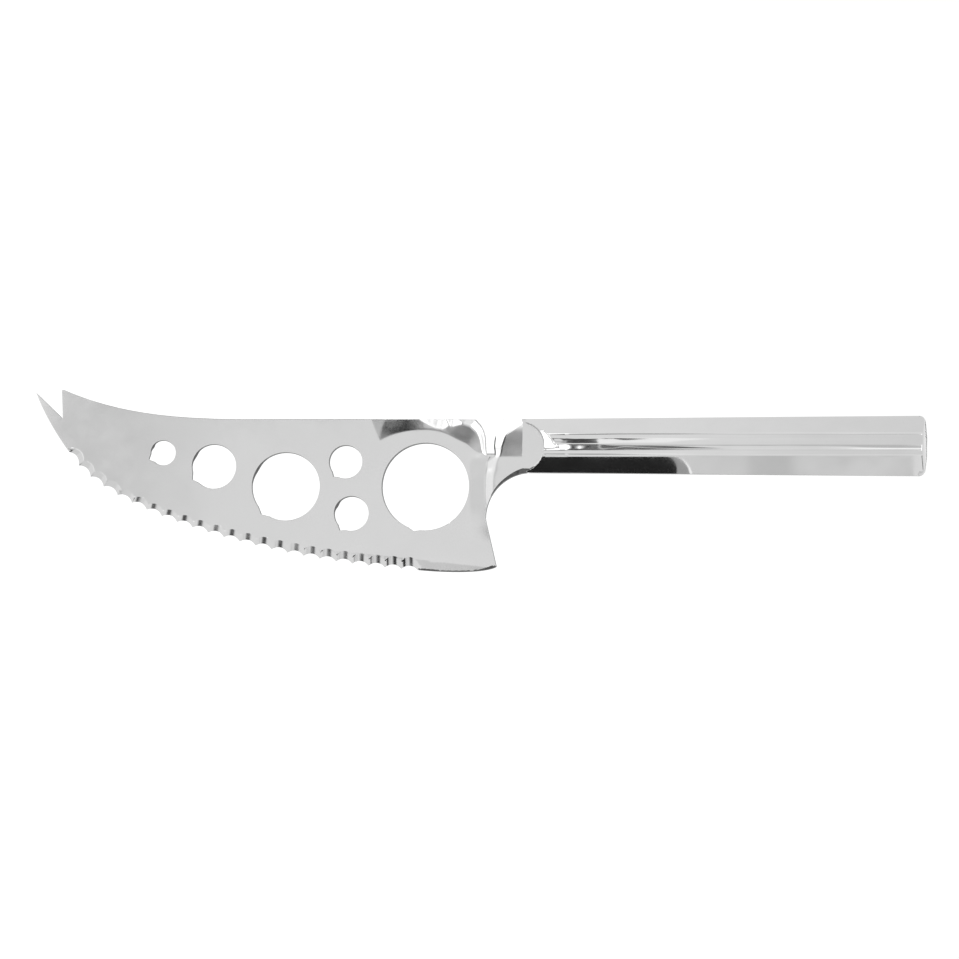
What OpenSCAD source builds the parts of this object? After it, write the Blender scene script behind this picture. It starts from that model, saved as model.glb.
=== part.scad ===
// Cheese knife: pierced fork-tipped blade, serrated belly, hollow faceted handle.
// The knife lies flat. +X runs along the knife to the end of the handle, the
// fork tips point to -X, +Y is the spine side and +Z is the ground, fluted face.
// The origin is the middle of the bounding box's underside.

/* [Overall] */
// Length from the first prong to the end of the handle
overall_len = 240; // [236:1:246]
// Height of the handle's flat back below the middle of the handle
handle_half_depth = 5.5; // [5:0.1:6.5]

/* [Blade] */
// Thickness of the blade at the neck, also of the tang
plate_t = 2.2; // [1.8:0.1:2.6]
// Thickness of the blade at the fork tips
tip_t = 1.0; // [0.8:0.1:1.4]
// Straight part of the spine, height above the middle line
spine_y = 16.4; // [16.2:0.1:16.6]
// Number of ground flutes along the belly
flutes = 23; // [20:1:26]
// Depth of each flute's bite out of the edge
flute_depth = 1.0; // [0.6:0.1:1.2]
// Slope of the flutes against the blade
flute_tilt = 45; // [40:1:55]
// Slope of the long bevel above the plain edge
bevel_slope = 9; // [6:1:12]

/* [Holes] */
// Radius of the hole next to the fork
hole_1_r = 3.4; // [3:0.1:3.8]
// Radius of the second hole
hole_2_r = 6.0; // [5:0.1:6.4]
// Radius of the third hole
hole_3_r = 9.2; // [8:0.1:9.8]
// Radius of the small upper hole
hole_4_r = 4.5; // [4:0.1:5]
// Radius of the small lower hole
hole_5_r = 4.7; // [4:0.1:5.2]
// Radius of the large hole at the neck
hole_6_r = 11.8; // [10:0.1:12]

/* [Handle] */
// Half width of the handle at its front
front_half_w = 7.2; // [7.2:0.1:7.6]
// Half width of the handle at its end
end_half_w = 8.1; // [7.7:0.1:8.3]
// Half width of the flat land on the front and on the back
land_half_w = 2.85; // [2.5:0.05:3.2]
// Slope of the long side facets
facet_slope = 44.5; // [42:0.5:46]
// Thickness of the pressed sheet of the handle shells
wall = 0.9; // [0.7:0.1:1]
// Width of the shallow groove along the land
groove_w = 3.1; // [2.4:0.1:3.6]
// Depth of the groove
groove_depth = 0.35; // [0.2:0.05:0.45]
// Radius of the round mouth at the blade's face
mouth_r = 6.2; // [6:0.1:6.3]
// Widening of the mouth for each millimetre of height
mouth_flare = 0.35; // [0.2:0.05:0.4]
// Radius of the corners at the handle's end
end_corner_r = 1.5; // [1:0.1:2]
// Thickness of the end cap
cap_t = 1.5; // [1:0.1:2]

/* [Inside] */
// Width of the tang
tang_w = 8; // [6:0.5:9]
// Length of the tang behind the mouth's middle
tang_len = 55; // [40:1:70]
// Radius of the keying hole near the tang's end
key_hole_r = 2; // [1.5:0.1:2.5]
// Length of the resin filling behind the mouth's middle
resin_len = 66; // [60:1:90]

/* [Welds] */
// Depth of the weld strips in the handle's two side seams
seam_depth = 0.5; // [0.3:0.1:0.6]
// Height of the weld strips
seam_height = 0.6; // [0.4:0.1:0.8]
// Leg of the small fillet between mouth and blade
mouth_weld_leg = 0.5; // [0.3:0.1:0.7]

/* [Hidden] */
$fn = 96;

x_tip = -120;
x_end = x_tip + overall_len;
zm = handle_half_depth;          // the plane where the two shells meet
z_back = zm - plate_t / 2;       // the blade's flat back
z_front = zm + plate_t / 2;      // the blade's front at the neck
x_taper = -15;                   // the blade thins from here to the tips
axis_y = 9.2;                    // the handle's middle line
x_mouth = 12.7;                  // the handle's front corners
mouth_c = [10.9, 8.8];           // middle of the round mouth
tongue_r = mouth_r + wall;       // round end of the blade under the mouth wall
neck_c = [14.1, -10.2];          // middle of the hollow under the neck
neck_r = 12.2;

// Points of cubic curves, and a walk along one at even steps of length
function bez(p, t) = pow(1 - t, 3) * p[0] + 3 * pow(1 - t, 2) * t * p[1]
                   + 3 * (1 - t) * t * t * p[2] + pow(t, 3) * p[3];
belly = [[-110.9, 7.7], [-103.4, -7.2], [-58.9, -21.5], [-16.4, -24.1]];
outer_prong = [[-120, 23.7], [-118.5, 19.5], [-115, 13], [-110.6, 7.3]];
spine = [[-113.1, 24.65], [-99.5, 18.7], [-85.5, spine_y], [-62, spine_y]];
steps = 230;
belly_fine = [for (i = [0:steps]) bez(belly, i / steps)];
function run(i) = i == 0 ? [0] : let (r = run(i - 1))
    concat(r, [r[i - 1] + norm(belly_fine[i] - belly_fine[i - 1])]);
belly_run = run(steps);
pitch = belly_run[steps] / flutes;
function place(s, i = 1) = i >= steps || belly_run[i] >= s
    ? belly_fine[i - 1] + (belly_fine[i] - belly_fine[i - 1])
      * (s - belly_run[i - 1]) / (belly_run[i] - belly_run[i - 1])
    : place(s, i + 1);
tips = [for (i = [0:flutes]) i == 0 ? belly[0] : i == flutes ? belly[3]
        : place(i * pitch)];

// Inward normal of the belly at tip i, and the stock that the flutes grind off
function side(i) = let (t = tips[i + 1] - tips[i - 1]) [-t[1], t[0]] / norm(t);
stock = 0.3;

// A flute's radius follows from its chord and the depth of its bite
function flute_r(i) = let (h = norm(tips[i + 1] - tips[i]) / 2,
                           d = flute_depth * sin(flute_tilt))
                      (h * h + d * d) / (2 * d);

// Each hole: middle, radius, and the point of the small nick at its edge
holes = [
    [[-85.4, 7.4], hole_1_r, [-89.3, 5.6]],
    [[-71.6, 3.7], hole_2_r, [-77.5, 0.2]],
    [[-52.1, -1.7], hole_3_r, [-58.7, -9.2]],
    [[-36.0, 4.9], hole_4_r, [-39.3, 0.9]],
    [[-34.3, -9.0], hole_5_r, [-37.4, -13.6]],
    [[-14.4, -1.8], hole_6_r, [-17.5, -13.8]]
];

// The handle's half width along X
function half_w(x) = front_half_w + (end_half_w - front_half_w)
                     * (x - x_mouth) / (120 - x_mouth);
// Half of the handle's section from the seam plane up, inset by t
function facet_c(t) = land_half_w * sin(facet_slope)
                      + handle_half_depth * cos(facet_slope) - t;
function section(t) = let (
        top = handle_half_depth - t,
        w = facet_c(t) / sin(facet_slope),
        l = (facet_c(t) - top * cos(facet_slope)) / sin(facet_slope))
    [[-w, 0], [w, 0], [l, top], [-l, top]];

// --- outlines in plan -------------------------------------------------------
module blade_outline() {
    polygon(concat(
        [for (i = [0:12]) bez(outer_prong, i / 12)],
        [for (i = [1:flutes - 1]) tips[i] - stock * side(i)],
        [[-17, -24.4], [-14.5, -24.65], [2.2, -24.65], [3.6, -24.45], [4.6, -23.95],
         [4.95, -23.2]],
        [for (a = [180:-5:100]) neck_c + neck_r * [cos(a), sin(a)]],
        [[x_mouth, 1.9], [x_mouth, spine_y]],
        [for (i = [16:-1:0]) bez(spine, i / 16)],
        [[-112.7, 16.7]]));
}

module tongue_outline() {
    difference() {
        translate(mouth_c) circle(r = tongue_r);
        translate([x_mouth - 40, -20]) square([40, 60]);
    }
    translate([x_mouth, axis_y - tang_w / 2])
        square([mouth_c[0] + tang_len - x_mouth - tang_w / 2, tang_w]);
    translate([mouth_c[0] + tang_len - tang_w / 2, axis_y])
        circle(d = tang_w);
}

// The handle in plan: a slight taper, square front corners, round end corners
module handle_plan(t) {
    intersection() {
        polygon([[x_mouth, axis_y - half_w(x_mouth) + t],
                 [x_end + 1, axis_y - half_w(x_end + 1) + t],
                 [x_end + 1, axis_y + half_w(x_end + 1) - t],
                 [x_mouth, axis_y + half_w(x_mouth) - t]]);
        union() {
            translate([x_mouth - 1, -10])
                square([x_end - end_corner_r - x_mouth + 1, 40]);
            for (s = [-1, 1])
                translate([x_end - end_corner_r,
                           axis_y + s * (half_w(x_end) - end_corner_r)])
                    circle(r = end_corner_r);
            translate([x_mouth, axis_y - half_w(x_end) + end_corner_r])
                square([x_end - x_mouth,
                        2 * (half_w(x_end) - end_corner_r)]);
        }
    }
}

// --- solids used more than once ---------------------------------------------
// Half of the handle's body above the seam plane, inset by t
module half_body(t) {
    intersection() {
        translate([x_mouth - 1, axis_y, 0])
            rotate([90, 0, 90])
                linear_extrude(height = x_end - x_mouth + 2)
                    polygon(section(t));
        linear_extrude(height = 20) handle_plan(t);
    }
}

// The round, flared mouth, wider by t
module mouth_cutter(t) {
    up = plate_t / 2;
    translate([mouth_c[0], mouth_c[1], 0])
        cylinder(r1 = mouth_r + t - mouth_flare * up,
                 r2 = mouth_r + t + mouth_flare * (12 - up), h = 12);
}

// The hollow of one shell, from the mouth wall to the open end
module half_hollow() {
    difference() {
        half_body(wall);
        mouth_cutter(wall);
        translate([x_mouth - 1, -20, -1]) cube([wall + 1, 60, 22]);
    }
}

// The groove in the land
module groove() {
    r = (groove_w * groove_w / 4 + groove_depth * groove_depth)
        / (2 * groove_depth);
    translate([x_mouth - 1, axis_y,
               handle_half_depth - groove_depth + r])
        rotate([0, 90, 0]) cylinder(r = r, h = x_end - x_mouth + 2);
}

// The strip of weld in one side seam, s is 1 on the spine side
module seam_strip(s) {
    x0 = x_mouth + wall;
    x1 = x_end - cap_t - 0.5;
    translate([0, 0, -seam_height / 2])
        linear_extrude(height = seam_height)
            polygon([[x0, axis_y + s * half_w(x0)],
                     [x1, axis_y + s * half_w(x1)],
                     [x1, axis_y + s * (half_w(x1) - seam_depth)],
                     [x0, axis_y + s * (half_w(x0) - seam_depth)]]);
}

// One pressed shell, standing on the seam plane
module half_shell() {
    difference() {
        half_body(0);
        half_hollow();
        mouth_cutter(0);
        groove();
        linear_extrude(height = plate_t, center = true) tongue_outline();
        seam_strip(1);
        seam_strip(-1);
    }
}

// The fillet round the foot of the mouth, on the blade's face
module mouth_fillet() {
    turn = acos((x_mouth - mouth_c[0]) / mouth_r);
    translate([mouth_c[0], mouth_c[1], plate_t / 2])
        rotate([0, 0, -turn])
            rotate_extrude(angle = 2 * turn)
                polygon([[mouth_r - mouth_weld_leg, 0], [mouth_r, 0],
                         [mouth_r + mouth_flare * mouth_weld_leg,
                          mouth_weld_leg]]);
}

// --- the pieces -------------------------------------------------------------
module blade() {
    thin = plate_t - tip_t;
    color([0.80, 0.80, 0.80])
    difference() {
        translate([0, 0, z_back])
            linear_extrude(height = plate_t)
                union() { blade_outline(); tongue_outline(); }
        // the front face falls towards the fork
        translate([0, 60, 0])
            rotate([90, 0, 0])
                linear_extrude(height = 120)
                    polygon([[x_taper, z_front], [x_taper, z_front + 3],
                             [x_tip - 5, z_front + 3],
                             [x_tip - 5, z_front - thin
                              * (x_taper - x_tip + 5) / (x_taper - x_tip)]]);
        // holes with their nicks
        for (h = holes) {
            translate([h[0][0], h[0][1], z_back - 1])
                cylinder(r = h[1], h = plate_t + 2);
            translate([0, 0, z_back - 1])
                linear_extrude(height = plate_t + 2) nick(h);
        }
        // flutes, ground from the front along the belly
        for (i = [0:flutes - 1]) flute(i);
        // long bevel above the plain edge
        translate([2.2, -24.65, z_front - 0.75])
            rotate([0, 0, -2.5])
                rotate([bevel_slope, 0, 0])
                    translate([-36, -10, 0]) cube([46, 18, 5]);
        // keying hole in the tang
        translate([mouth_c[0] + tang_len - 7, axis_y, z_back - 1])
            cylinder(r = key_hole_r, h = plate_t + 2);
        // bevel under the neck, running into the handle's lower facet
        translate([neck_c[0], neck_c[1], z_front - 0.55])
            cylinder(r1 = neck_r + 0.05, r2 = neck_r + 2.05, h = 2);
    }
}

// A small pointed notch: two straight sides meet at its point, and its foot
// is inside the hole
module nick(h) {
    d = h[2] - h[0];
    u = d / norm(d);
    v = [-u[1], u[0]];
    q = h[1] - 0.6;
    e = 0.32 * h[1] + 0.5;
    polygon([h[2], h[0] + q * u + e * v, h[0] + 0.5 * q * u,
             h[0] + q * u - e * v]);
}

module flute(i) {
    a = tips[i];
    b = tips[i + 1];
    t = (b - a) / norm(b - a);
    n = [-t[1], t[0]];
    c = (a + b) / 2 + n * (flute_depth - flute_r(i) / sin(flute_tilt));
    translate([c[0], c[1], z_back])
        rotate([0, 0, atan2(n[1], n[0])])
            rotate([0, 90 - flute_tilt, 0])
                translate([0, 0, -8]) cylinder(r = flute_r(i), h = 20);
}

module handle_front_shell() {
    color([0.82, 0.82, 0.83]) translate([0, 0, zm]) half_shell();
}

module handle_back_shell() {
    color([0.74, 0.74, 0.75])
        translate([0, 0, zm]) mirror([0, 0, 1]) half_shell();
}

module end_cap() {
    color([0.78, 0.78, 0.79])
    intersection() {
        translate([0, 0, zm]) union() {
            half_body(wall);
            mirror([0, 0, 1]) half_body(wall);
        }
        translate([x_end - cap_t, -10, -1]) cube([cap_t + 1, 40, 20]);
    }
}

module upper_seam_weld() {
    color([0.88, 0.88, 0.88]) translate([0, 0, zm]) seam_strip(1);
}

module lower_seam_weld() {
    color([0.88, 0.88, 0.88]) translate([0, 0, zm]) seam_strip(-1);
}

module mouth_weld_front() {
    color([0.90, 0.90, 0.90]) translate([0, 0, zm]) mouth_fillet();
}

module mouth_weld_back() {
    color([0.90, 0.90, 0.90])
        translate([0, 0, zm]) mirror([0, 0, 1]) mouth_fillet();
}

module tang_resin() {
    color([0.72, 0.66, 0.50])
    difference() {
        translate([0, 0, zm]) intersection() {
            union() {
                half_hollow();
                mirror([0, 0, 1]) half_hollow();
            }
            translate([0, -10, -20])
                cube([mouth_c[0] + resin_len, 40, 40]);
        }
        translate([0, 0, z_back])
            linear_extrude(height = plate_t)
                difference() {
                    tongue_outline();
                    translate([mouth_c[0] + tang_len - 7, axis_y])
                        circle(r = key_hole_r);
                }
    }
}

blade();
handle_front_shell();
handle_back_shell();
end_cap();
upper_seam_weld();
lower_seam_weld();
mouth_weld_front();
mouth_weld_back();
tang_resin();
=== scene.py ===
import math

import bpy
import numpy as np
from mathutils import Matrix, Vector, noise
from mathutils.geometry import delaunay_2d_cdt
from mathutils.kdtree import KDTree


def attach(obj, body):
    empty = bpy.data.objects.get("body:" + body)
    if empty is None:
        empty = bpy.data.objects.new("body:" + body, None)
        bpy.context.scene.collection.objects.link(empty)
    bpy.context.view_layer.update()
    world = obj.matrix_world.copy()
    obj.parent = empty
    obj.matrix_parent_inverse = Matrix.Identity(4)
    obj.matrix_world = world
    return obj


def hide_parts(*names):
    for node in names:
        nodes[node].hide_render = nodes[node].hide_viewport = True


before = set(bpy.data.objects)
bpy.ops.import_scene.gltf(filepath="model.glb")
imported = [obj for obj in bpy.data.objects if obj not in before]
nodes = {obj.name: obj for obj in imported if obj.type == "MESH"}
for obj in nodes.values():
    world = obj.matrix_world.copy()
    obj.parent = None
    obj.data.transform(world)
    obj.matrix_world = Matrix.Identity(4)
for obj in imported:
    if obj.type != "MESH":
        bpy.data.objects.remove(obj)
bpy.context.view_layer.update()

# ---------------------------------------------------------------------------
# Sizes, in millimetres, the same as the frame's
# ---------------------------------------------------------------------------
X_END = 120.0
ZM = 5.5
PLATE = 2.2
TIP_T = 1.0
Z_BACK = ZM - PLATE / 2
Z_FRONT = ZM + PLATE / 2
X_TAPER = -15.0
SPINE_Y = 16.4
FLUTES = 23
DEPTH = 1.0
TILT = math.radians(45)
AXIS_Y = 9.2
X_MOUTH = 12.7
MC = np.array([10.9, 8.8])
MOUTH_R = 6.2
FLARE = 0.35
WALL = 0.9
TONGUE_R = MOUTH_R + WALL
NC = np.array([14.1, -10.2])
NR = 12.2
FRONT_W = 7.2
END_W = 8.1
LAND = 2.85
SLOPE = math.radians(44.5)
GROOVE_W = 3.1
GROOVE_D = 0.35
CORNER = 1.5
TANG_W = 8.0
TANG_LEN = 55.0
CAP_T = 1.5

HOLES = [
    ((-85.4, 7.4), 3.4, (-89.3, 5.6)),
    ((-71.6, 3.7), 6.0, (-77.5, 0.2)),
    ((-52.1, -1.7), 9.2, (-58.7, -9.2)),
    ((-36.0, 4.9), 4.5, (-39.3, 0.9)),
    ((-34.3, -9.0), 4.7, (-37.4, -13.6)),
    ((-14.4, -1.8), 11.8, (-17.5, -13.8)),
]


def bez(p, t):
    t = np.asarray(t, float)[..., None]
    p = [np.array(q, float) for q in p]
    return ((1 - t) ** 3 * p[0] + 3 * (1 - t) ** 2 * t * p[1]
            + 3 * (1 - t) * t * t * p[2] + t ** 3 * p[3])


BELLY = [(-110.9, 7.7), (-103.4, -7.2), (-58.9, -21.5), (-16.4, -24.1)]
PRONG = [(-120, 23.7), (-118.5, 19.5), (-115, 13), (-110.6, 7.3)]
SPINE = [(-113.1, 24.65), (-99.5, 18.7), (-85.5, SPINE_Y), (-62, SPINE_Y)]


def even(p, n, fine=4000):
    """n + 1 points at even steps of length along a cubic."""
    q = bez(p, np.linspace(0, 1, fine))
    s = np.concatenate([[0], np.cumsum(np.linalg.norm(np.diff(q, axis=0), axis=1))])
    w = np.linspace(0, s[-1], n + 1)
    return np.c_[np.interp(w, s, q[:, 0]), np.interp(w, s, q[:, 1])]


TIPS = even(BELLY, FLUTES)


def line(a, b, step):
    """Points from a up to, and not including, b."""
    a, b = np.array(a, float), np.array(b, float)
    n = max(1, int(math.ceil(np.linalg.norm(b - a) / step)))
    return [a + (b - a) * i / n for i in range(n)]


def arc(c, r, a0, a1, step):
    n = max(2, int(math.ceil(abs(a1 - a0) * r / step)))
    return [np.array(c) + r * np.array([math.cos(a0 + (a1 - a0) * i / n),
                                        math.sin(a0 + (a1 - a0) * i / n)])
            for i in range(n)]


def half_w(x):
    return FRONT_W + (END_W - FRONT_W) * (np.asarray(x, float) - X_MOUTH) / (120 - X_MOUTH)


# Each flute: middle at the back face, directions, radius, half chord
FL = []
for i in range(FLUTES):
    a, b = TIPS[i], TIPS[i + 1]
    h = np.linalg.norm(b - a) / 2
    t = (b - a) / (2 * h)
    n = np.array([-t[1], t[0]])
    w = min(1.0, max(0.0, (-92.0 - a[0]) / 9.0))
    tilt = TILT - math.radians(8.0) * w
    d = DEPTH * math.sin(tilt)
    r = (h * h + d * d) / (2 * d)
    FL.append(((a + b) / 2 + n * (DEPTH - r / math.sin(tilt)), t, n, r, h, tilt))


def flute_height(x, y):
    """Lowest flute surface over each point, above Z_BACK."""
    out = np.full(x.shape, 1e3)
    for c, t, n, r, h, tilt in FL:
        u = (x - c[0]) * n[0] + (y - c[1]) * n[1]
        v = (x - c[0]) * t[0] + (y - c[1]) * t[1]
        near = np.abs(v) < r
        z = (u * math.sin(tilt) - np.sqrt(np.where(near, r * r - v * v, 0))) / math.cos(tilt)
        out = np.where(near, np.minimum(out, z), out)
    return out


def front_z(x):
    """The blade's front face, before flutes and bevels."""
    return Z_FRONT - (PLATE - TIP_T) * np.clip((X_TAPER - x) / (X_TAPER + 120), 0, None)


def smin(a, b, k):
    h = np.clip(k - np.abs(a - b), 0, None) / k
    return np.minimum(a, b) - h * h * k / 4


def smooth(e0, e1, x):
    t = np.clip((x - e0) / (e1 - e0), 0, 1)
    return t * t * (3 - 2 * t)


# ---------------------------------------------------------------------------
# Mesh tools
# ---------------------------------------------------------------------------
def inside(poly, x, y):
    """Even-odd test of many points in one polygon."""
    p = np.asarray(poly)
    q = np.roll(p, -1, axis=0)
    res = np.zeros(x.shape, bool)
    for (x0, y0), (x1, y1) in zip(p, q):
        if y0 == y1:
            continue
        hit = (y0 > y) != (y1 > y)
        res ^= hit & (x < (x1 - x0) * (y - y0) / (y1 - y0) + x0)
    return res


def plan_mesh(outer, holes, creases, grid):
    """Triangles over a plan with holes: returns points and triangles, counter-clockwise."""
    pts, edges = [], []
    for loop in [outer] + holes:
        k = len(pts)
        pts += [Vector((p[0], p[1])) for p in loop]
        edges += [(k + i, k + (i + 1) % len(loop)) for i in range(len(loop))]
    for c in creases:
        k = len(pts)
        pts += [Vector((p[0], p[1])) for p in c]
        edges += [(k + i, k + i + 1) for i in range(len(c) - 1)]
    gx, gy = grid[:, 0], grid[:, 1]
    keep = inside(outer, gx, gy)
    for h in holes:
        keep &= ~inside(h, gx, gy)
    # leave out grid points that crowd a boundary or crease
    tree = KDTree(len(pts))
    for i, p in enumerate(pts):
        tree.insert((p.x, p.y, 0), i)
    tree.balance()
    g = grid[keep]
    sp = g[:, 2]
    g = [q for q, s in zip(g, sp) if tree.find((q[0], q[1], 0))[2] > 0.45 * s]
    pts += [Vector((q[0], q[1])) for q in g]
    v, _, f, *_ = delaunay_2d_cdt(pts, edges, [], 1, 1e-5)
    v = np.array([(p.x, p.y) for p in v])
    f = np.array([t for t in f if len(t) == 3], int)
    c = v[f].mean(axis=1)
    ok = inside(outer, c[:, 0], c[:, 1])
    for h in holes:
        ok &= ~inside(h, c[:, 0], c[:, 1])
    f = f[ok]
    a, b, c = v[f[:, 0]], v[f[:, 1]], v[f[:, 2]]
    area = (b[:, 0] - a[:, 0]) * (c[:, 1] - a[:, 1]) - (b[:, 1] - a[:, 1]) * (c[:, 0] - a[:, 0])
    f = f[np.abs(area) > 1e-9]
    area = area[np.abs(area) > 1e-9]
    f[area < 0] = f[area < 0][:, ::-1]
    used = np.unique(f)
    new = np.full(len(v), -1)
    new[used] = np.arange(len(used))
    return v[used], new[f]


def slab(name, v, f, top, under, mirror_z=None, lean=None):
    """A closed solid between two height fields over one plan. mirror_z turns it over,
    and lean moves the lower points in plan."""
    n = len(v)
    e = np.concatenate([f[:, [0, 1]], f[:, [1, 2]], f[:, [2, 0]]])
    keys = set(map(tuple, e))
    rim = [(a, b) for a, b in keys if (b, a) not in keys]
    co = np.zeros((2 * n, 3))
    co[:n, :2] = co[n:, :2] = v
    if lean is not None:
        co[n:, :2] += lean
    co[:n, 2], co[n:, 2] = top, under
    faces = [tuple(t) for t in f] + [tuple(n + t[::-1]) for t in f]
    faces += [(b, a, n + a, n + b) for a, b in rim]
    if mirror_z is not None:
        co[:, 2] = mirror_z - co[:, 2]
        faces = [t[::-1] for t in faces]
    me = bpy.data.meshes.new(name)
    me.from_pydata([tuple(p) for p in co * 0.001], [], faces)
    me.polygons.foreach_set("use_smooth", [True] * len(me.polygons))
    me.update()
    me.set_sharp_from_angle(angle=math.radians(28))
    kind = np.zeros(len(faces), int)
    kind[2 * len(f):] = 1
    ob = bpy.data.objects.new(name, me)
    bpy.context.scene.collection.objects.link(ob)
    return ob, kind


def nearest(points, x, y):
    tree = KDTree(len(points))
    for i, p in enumerate(points):
        tree.insert((p[0], p[1], 0), i)
    tree.balance()
    return np.array([tree.find((a, b, 0))[2] for a, b in zip(x, y)])


def rounded(d, r):
    """How far a surface falls at distance d from an edge that is rounded with radius r."""
    q = np.clip(r - d, 0, r)
    return r - np.sqrt(np.clip(r * r - q * q, 0, None))


def ripple(x, y, size, seed):
    """Smooth seeded ripple between about -1 and 1."""
    return np.array([noise.noise(Vector((a / size + seed, b / size, seed * 0.37)))
                     for a, b in zip(x, y)])


def grid_points(x0, x1, y0, y1, s):
    xs = np.arange(x0, x1, s)
    ys = np.arange(y0, y1, s * 0.866)
    g = np.array([(x + (s / 2 if j % 2 else 0), y, s) for j, y in enumerate(ys) for x in xs])
    return g


# ---------------------------------------------------------------------------
# Blade
# ---------------------------------------------------------------------------
def blade_outline():
    p = []
    q = bez(PRONG, np.linspace(0, 1, 60))
    q = q[q[:, 1] > TIPS[0][1] + 0.12]
    p += list(q)
    for c, t, n, r, h, tilt in FL:
        e = math.asin(h / r)
        for i in range(22):
            w = -e + 2 * e * i / 22
            p.append(c + r / math.sin(tilt) * math.cos(w) * n + r * math.sin(w) * t)
    p += list(even([TIPS[-1], (-10.5, -24.72), (1.5, -25.2), (4.85, -23.3)], 60)[:-1])
    p += line((4.85, -23.3), (4.95, -23.1), 0.2)
    p += line((4.95, -23.1), (1.92, -10.6), 0.4)
    a0, a1 = math.radians(180), math.radians(96.7)
    p += arc(NC, NR, a0, a1, 0.35)
    p += line((X_MOUTH, 1.9), (X_MOUTH, MC[1] - math.sqrt(TONGUE_R ** 2 - (X_MOUTH - MC[0]) ** 2)), 1)
    a = math.acos((X_MOUTH - MC[0]) / TONGUE_R)
    b = math.asin((AXIS_Y - TANG_W / 2 - MC[1]) / TONGUE_R)
    p += arc(MC, TONGUE_R, -a, b, 0.5)
    xt = MC[0] + TANG_LEN - TANG_W / 2
    p += line((MC[0] + TONGUE_R * math.cos(b), AXIS_Y - TANG_W / 2), (xt, AXIS_Y - TANG_W / 2), 2)
    p += arc((xt, AXIS_Y), TANG_W / 2, -math.pi / 2, math.pi / 2, 0.8)
    b = math.asin((AXIS_Y + TANG_W / 2 - MC[1]) / TONGUE_R)
    p += line((xt, AXIS_Y + TANG_W / 2), (MC[0] + TONGUE_R * math.cos(b), AXIS_Y + TANG_W / 2), 2)
    p += arc(MC, TONGUE_R, b, a, 0.5)
    p += line((X_MOUTH, MC[1] + TONGUE_R * math.sin(a)), (X_MOUTH, SPINE_Y), 0.5)
    p += line((X_MOUTH, SPINE_Y), (-62, SPINE_Y), 0.5)
    q = even(SPINE, 90)[::-1]
    p += list(q)
    p += line((-113.08, 24.4), (-112.7, 16.7), 0.4)
    p += line((-112.7, 16.7), (-120, 23.7), 0.4)
    return np.array(p)


def hole_outline(h):
    c, r, tip = np.array(h[0]), h[1], np.array(h[2])
    d = tip - c
    dist = np.linalg.norm(d)
    a = math.atan2(d[1], d[0])
    b = 0.85 * math.acos(r / dist)
    # the nick's sides run from its point to just inside the circle
    foot = lambda s: c + (r - 0.2) * np.array([math.cos(a + s * b), math.sin(a + s * b)])
    hits = []
    for s in (1, -1):
        f = foot(s)
        lo, hi = 0.0, 1.0
        for _ in range(50):
            m = (lo + hi) / 2
            if np.linalg.norm(tip + (f - tip) * m - c) > r:
                lo = m
            else:
                hi = m
        hits.append(tip + (f - tip) * lo)
    w1 = math.atan2(*(hits[0] - c)[::-1])
    w0 = math.atan2(*(hits[1] - c)[::-1])
    while w0 < w1:
        w0 += 2 * math.pi
    step = max(0.3, r * 2 * math.pi / 160)
    p = arc(c, r, w1, w0, step) + line(hits[1], tip, 0.25) + line(tip, hits[0], 0.25)
    return np.array(p)


outline = blade_outline()
hole_loops = [hole_outline(h) for h in HOLES]
xt = MC[0] + TANG_LEN - 7
hole_loops.append(np.array(arc((xt, AXIS_Y), 2.0, 0, 2 * math.pi, 0.6)))

creases = []
# ridges between flutes, and the lines where flutes leave the front face
for i in range(1, FLUTES):
    m = FL[i - 1][2] + FL[i][2]
    m = m / np.linalg.norm(m)
    top = float(front_z(TIPS[i][0])) - Z_BACK
    creases.append([TIPS[i] + m * s for s in np.linspace(0.12, top * 0.98, 9)])
for c, t, n, r, h, tilt in FL:
    e = math.asin(min(0.995, h / r * 0.97))
    row = []
    for w in np.linspace(-e, e, 17):
        v = r * math.sin(w)
        u = r * math.cos(w) / math.sin(tilt)
        q = c + n * u + t * v
        top = float(front_z(q[0])) - Z_BACK
        row.append(c + n * (u + top / math.tan(tilt)) + t * v)
    creases.append(row)


# upper edge of the bevel under the neck
row = []
for a in np.radians(np.arange(176, 99, -1.6)):
    rr = NR
    for _ in range(4):
        px = NC[0] + rr * math.cos(a)
        rr = NR + float(0.14 + 0.30 * smooth(2.5, 6.5, px) + 0.95 * smooth(5.0, 13.5, px))
    row.append(NC + rr * np.array([math.cos(a), math.sin(a)]))
creases.append(row)
for x in (11.61, 11.67):
    creases.append([np.array([x, y]) for y in np.arange(3.4, 16.0, 0.35)])


def bevel_height(x, y):
    """The long bevel over the plain edge, fading out along the flutes."""
    a = math.radians(-6.2)
    d = -(2.2 - x) * math.sin(-a) + (y + 24.65) * math.cos(a)
    return front_z(x) - 0.22 + d * math.tan(math.radians(9)) + 0.8 * smooth(-46, -58, x)


def edge_width(x):
    """Width of the 45 degree faces that make the plain edge."""
    return 0.27 + 0.20 * smooth(-9.0, -13.5, x) + 0.42 * smooth(0.0, 4.2, x)


def neck_bevel(x):
    return 0.14 + 0.30 * smooth(2.5, 6.5, x) + 0.95 * smooth(5.0, 13.5, x)


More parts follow.
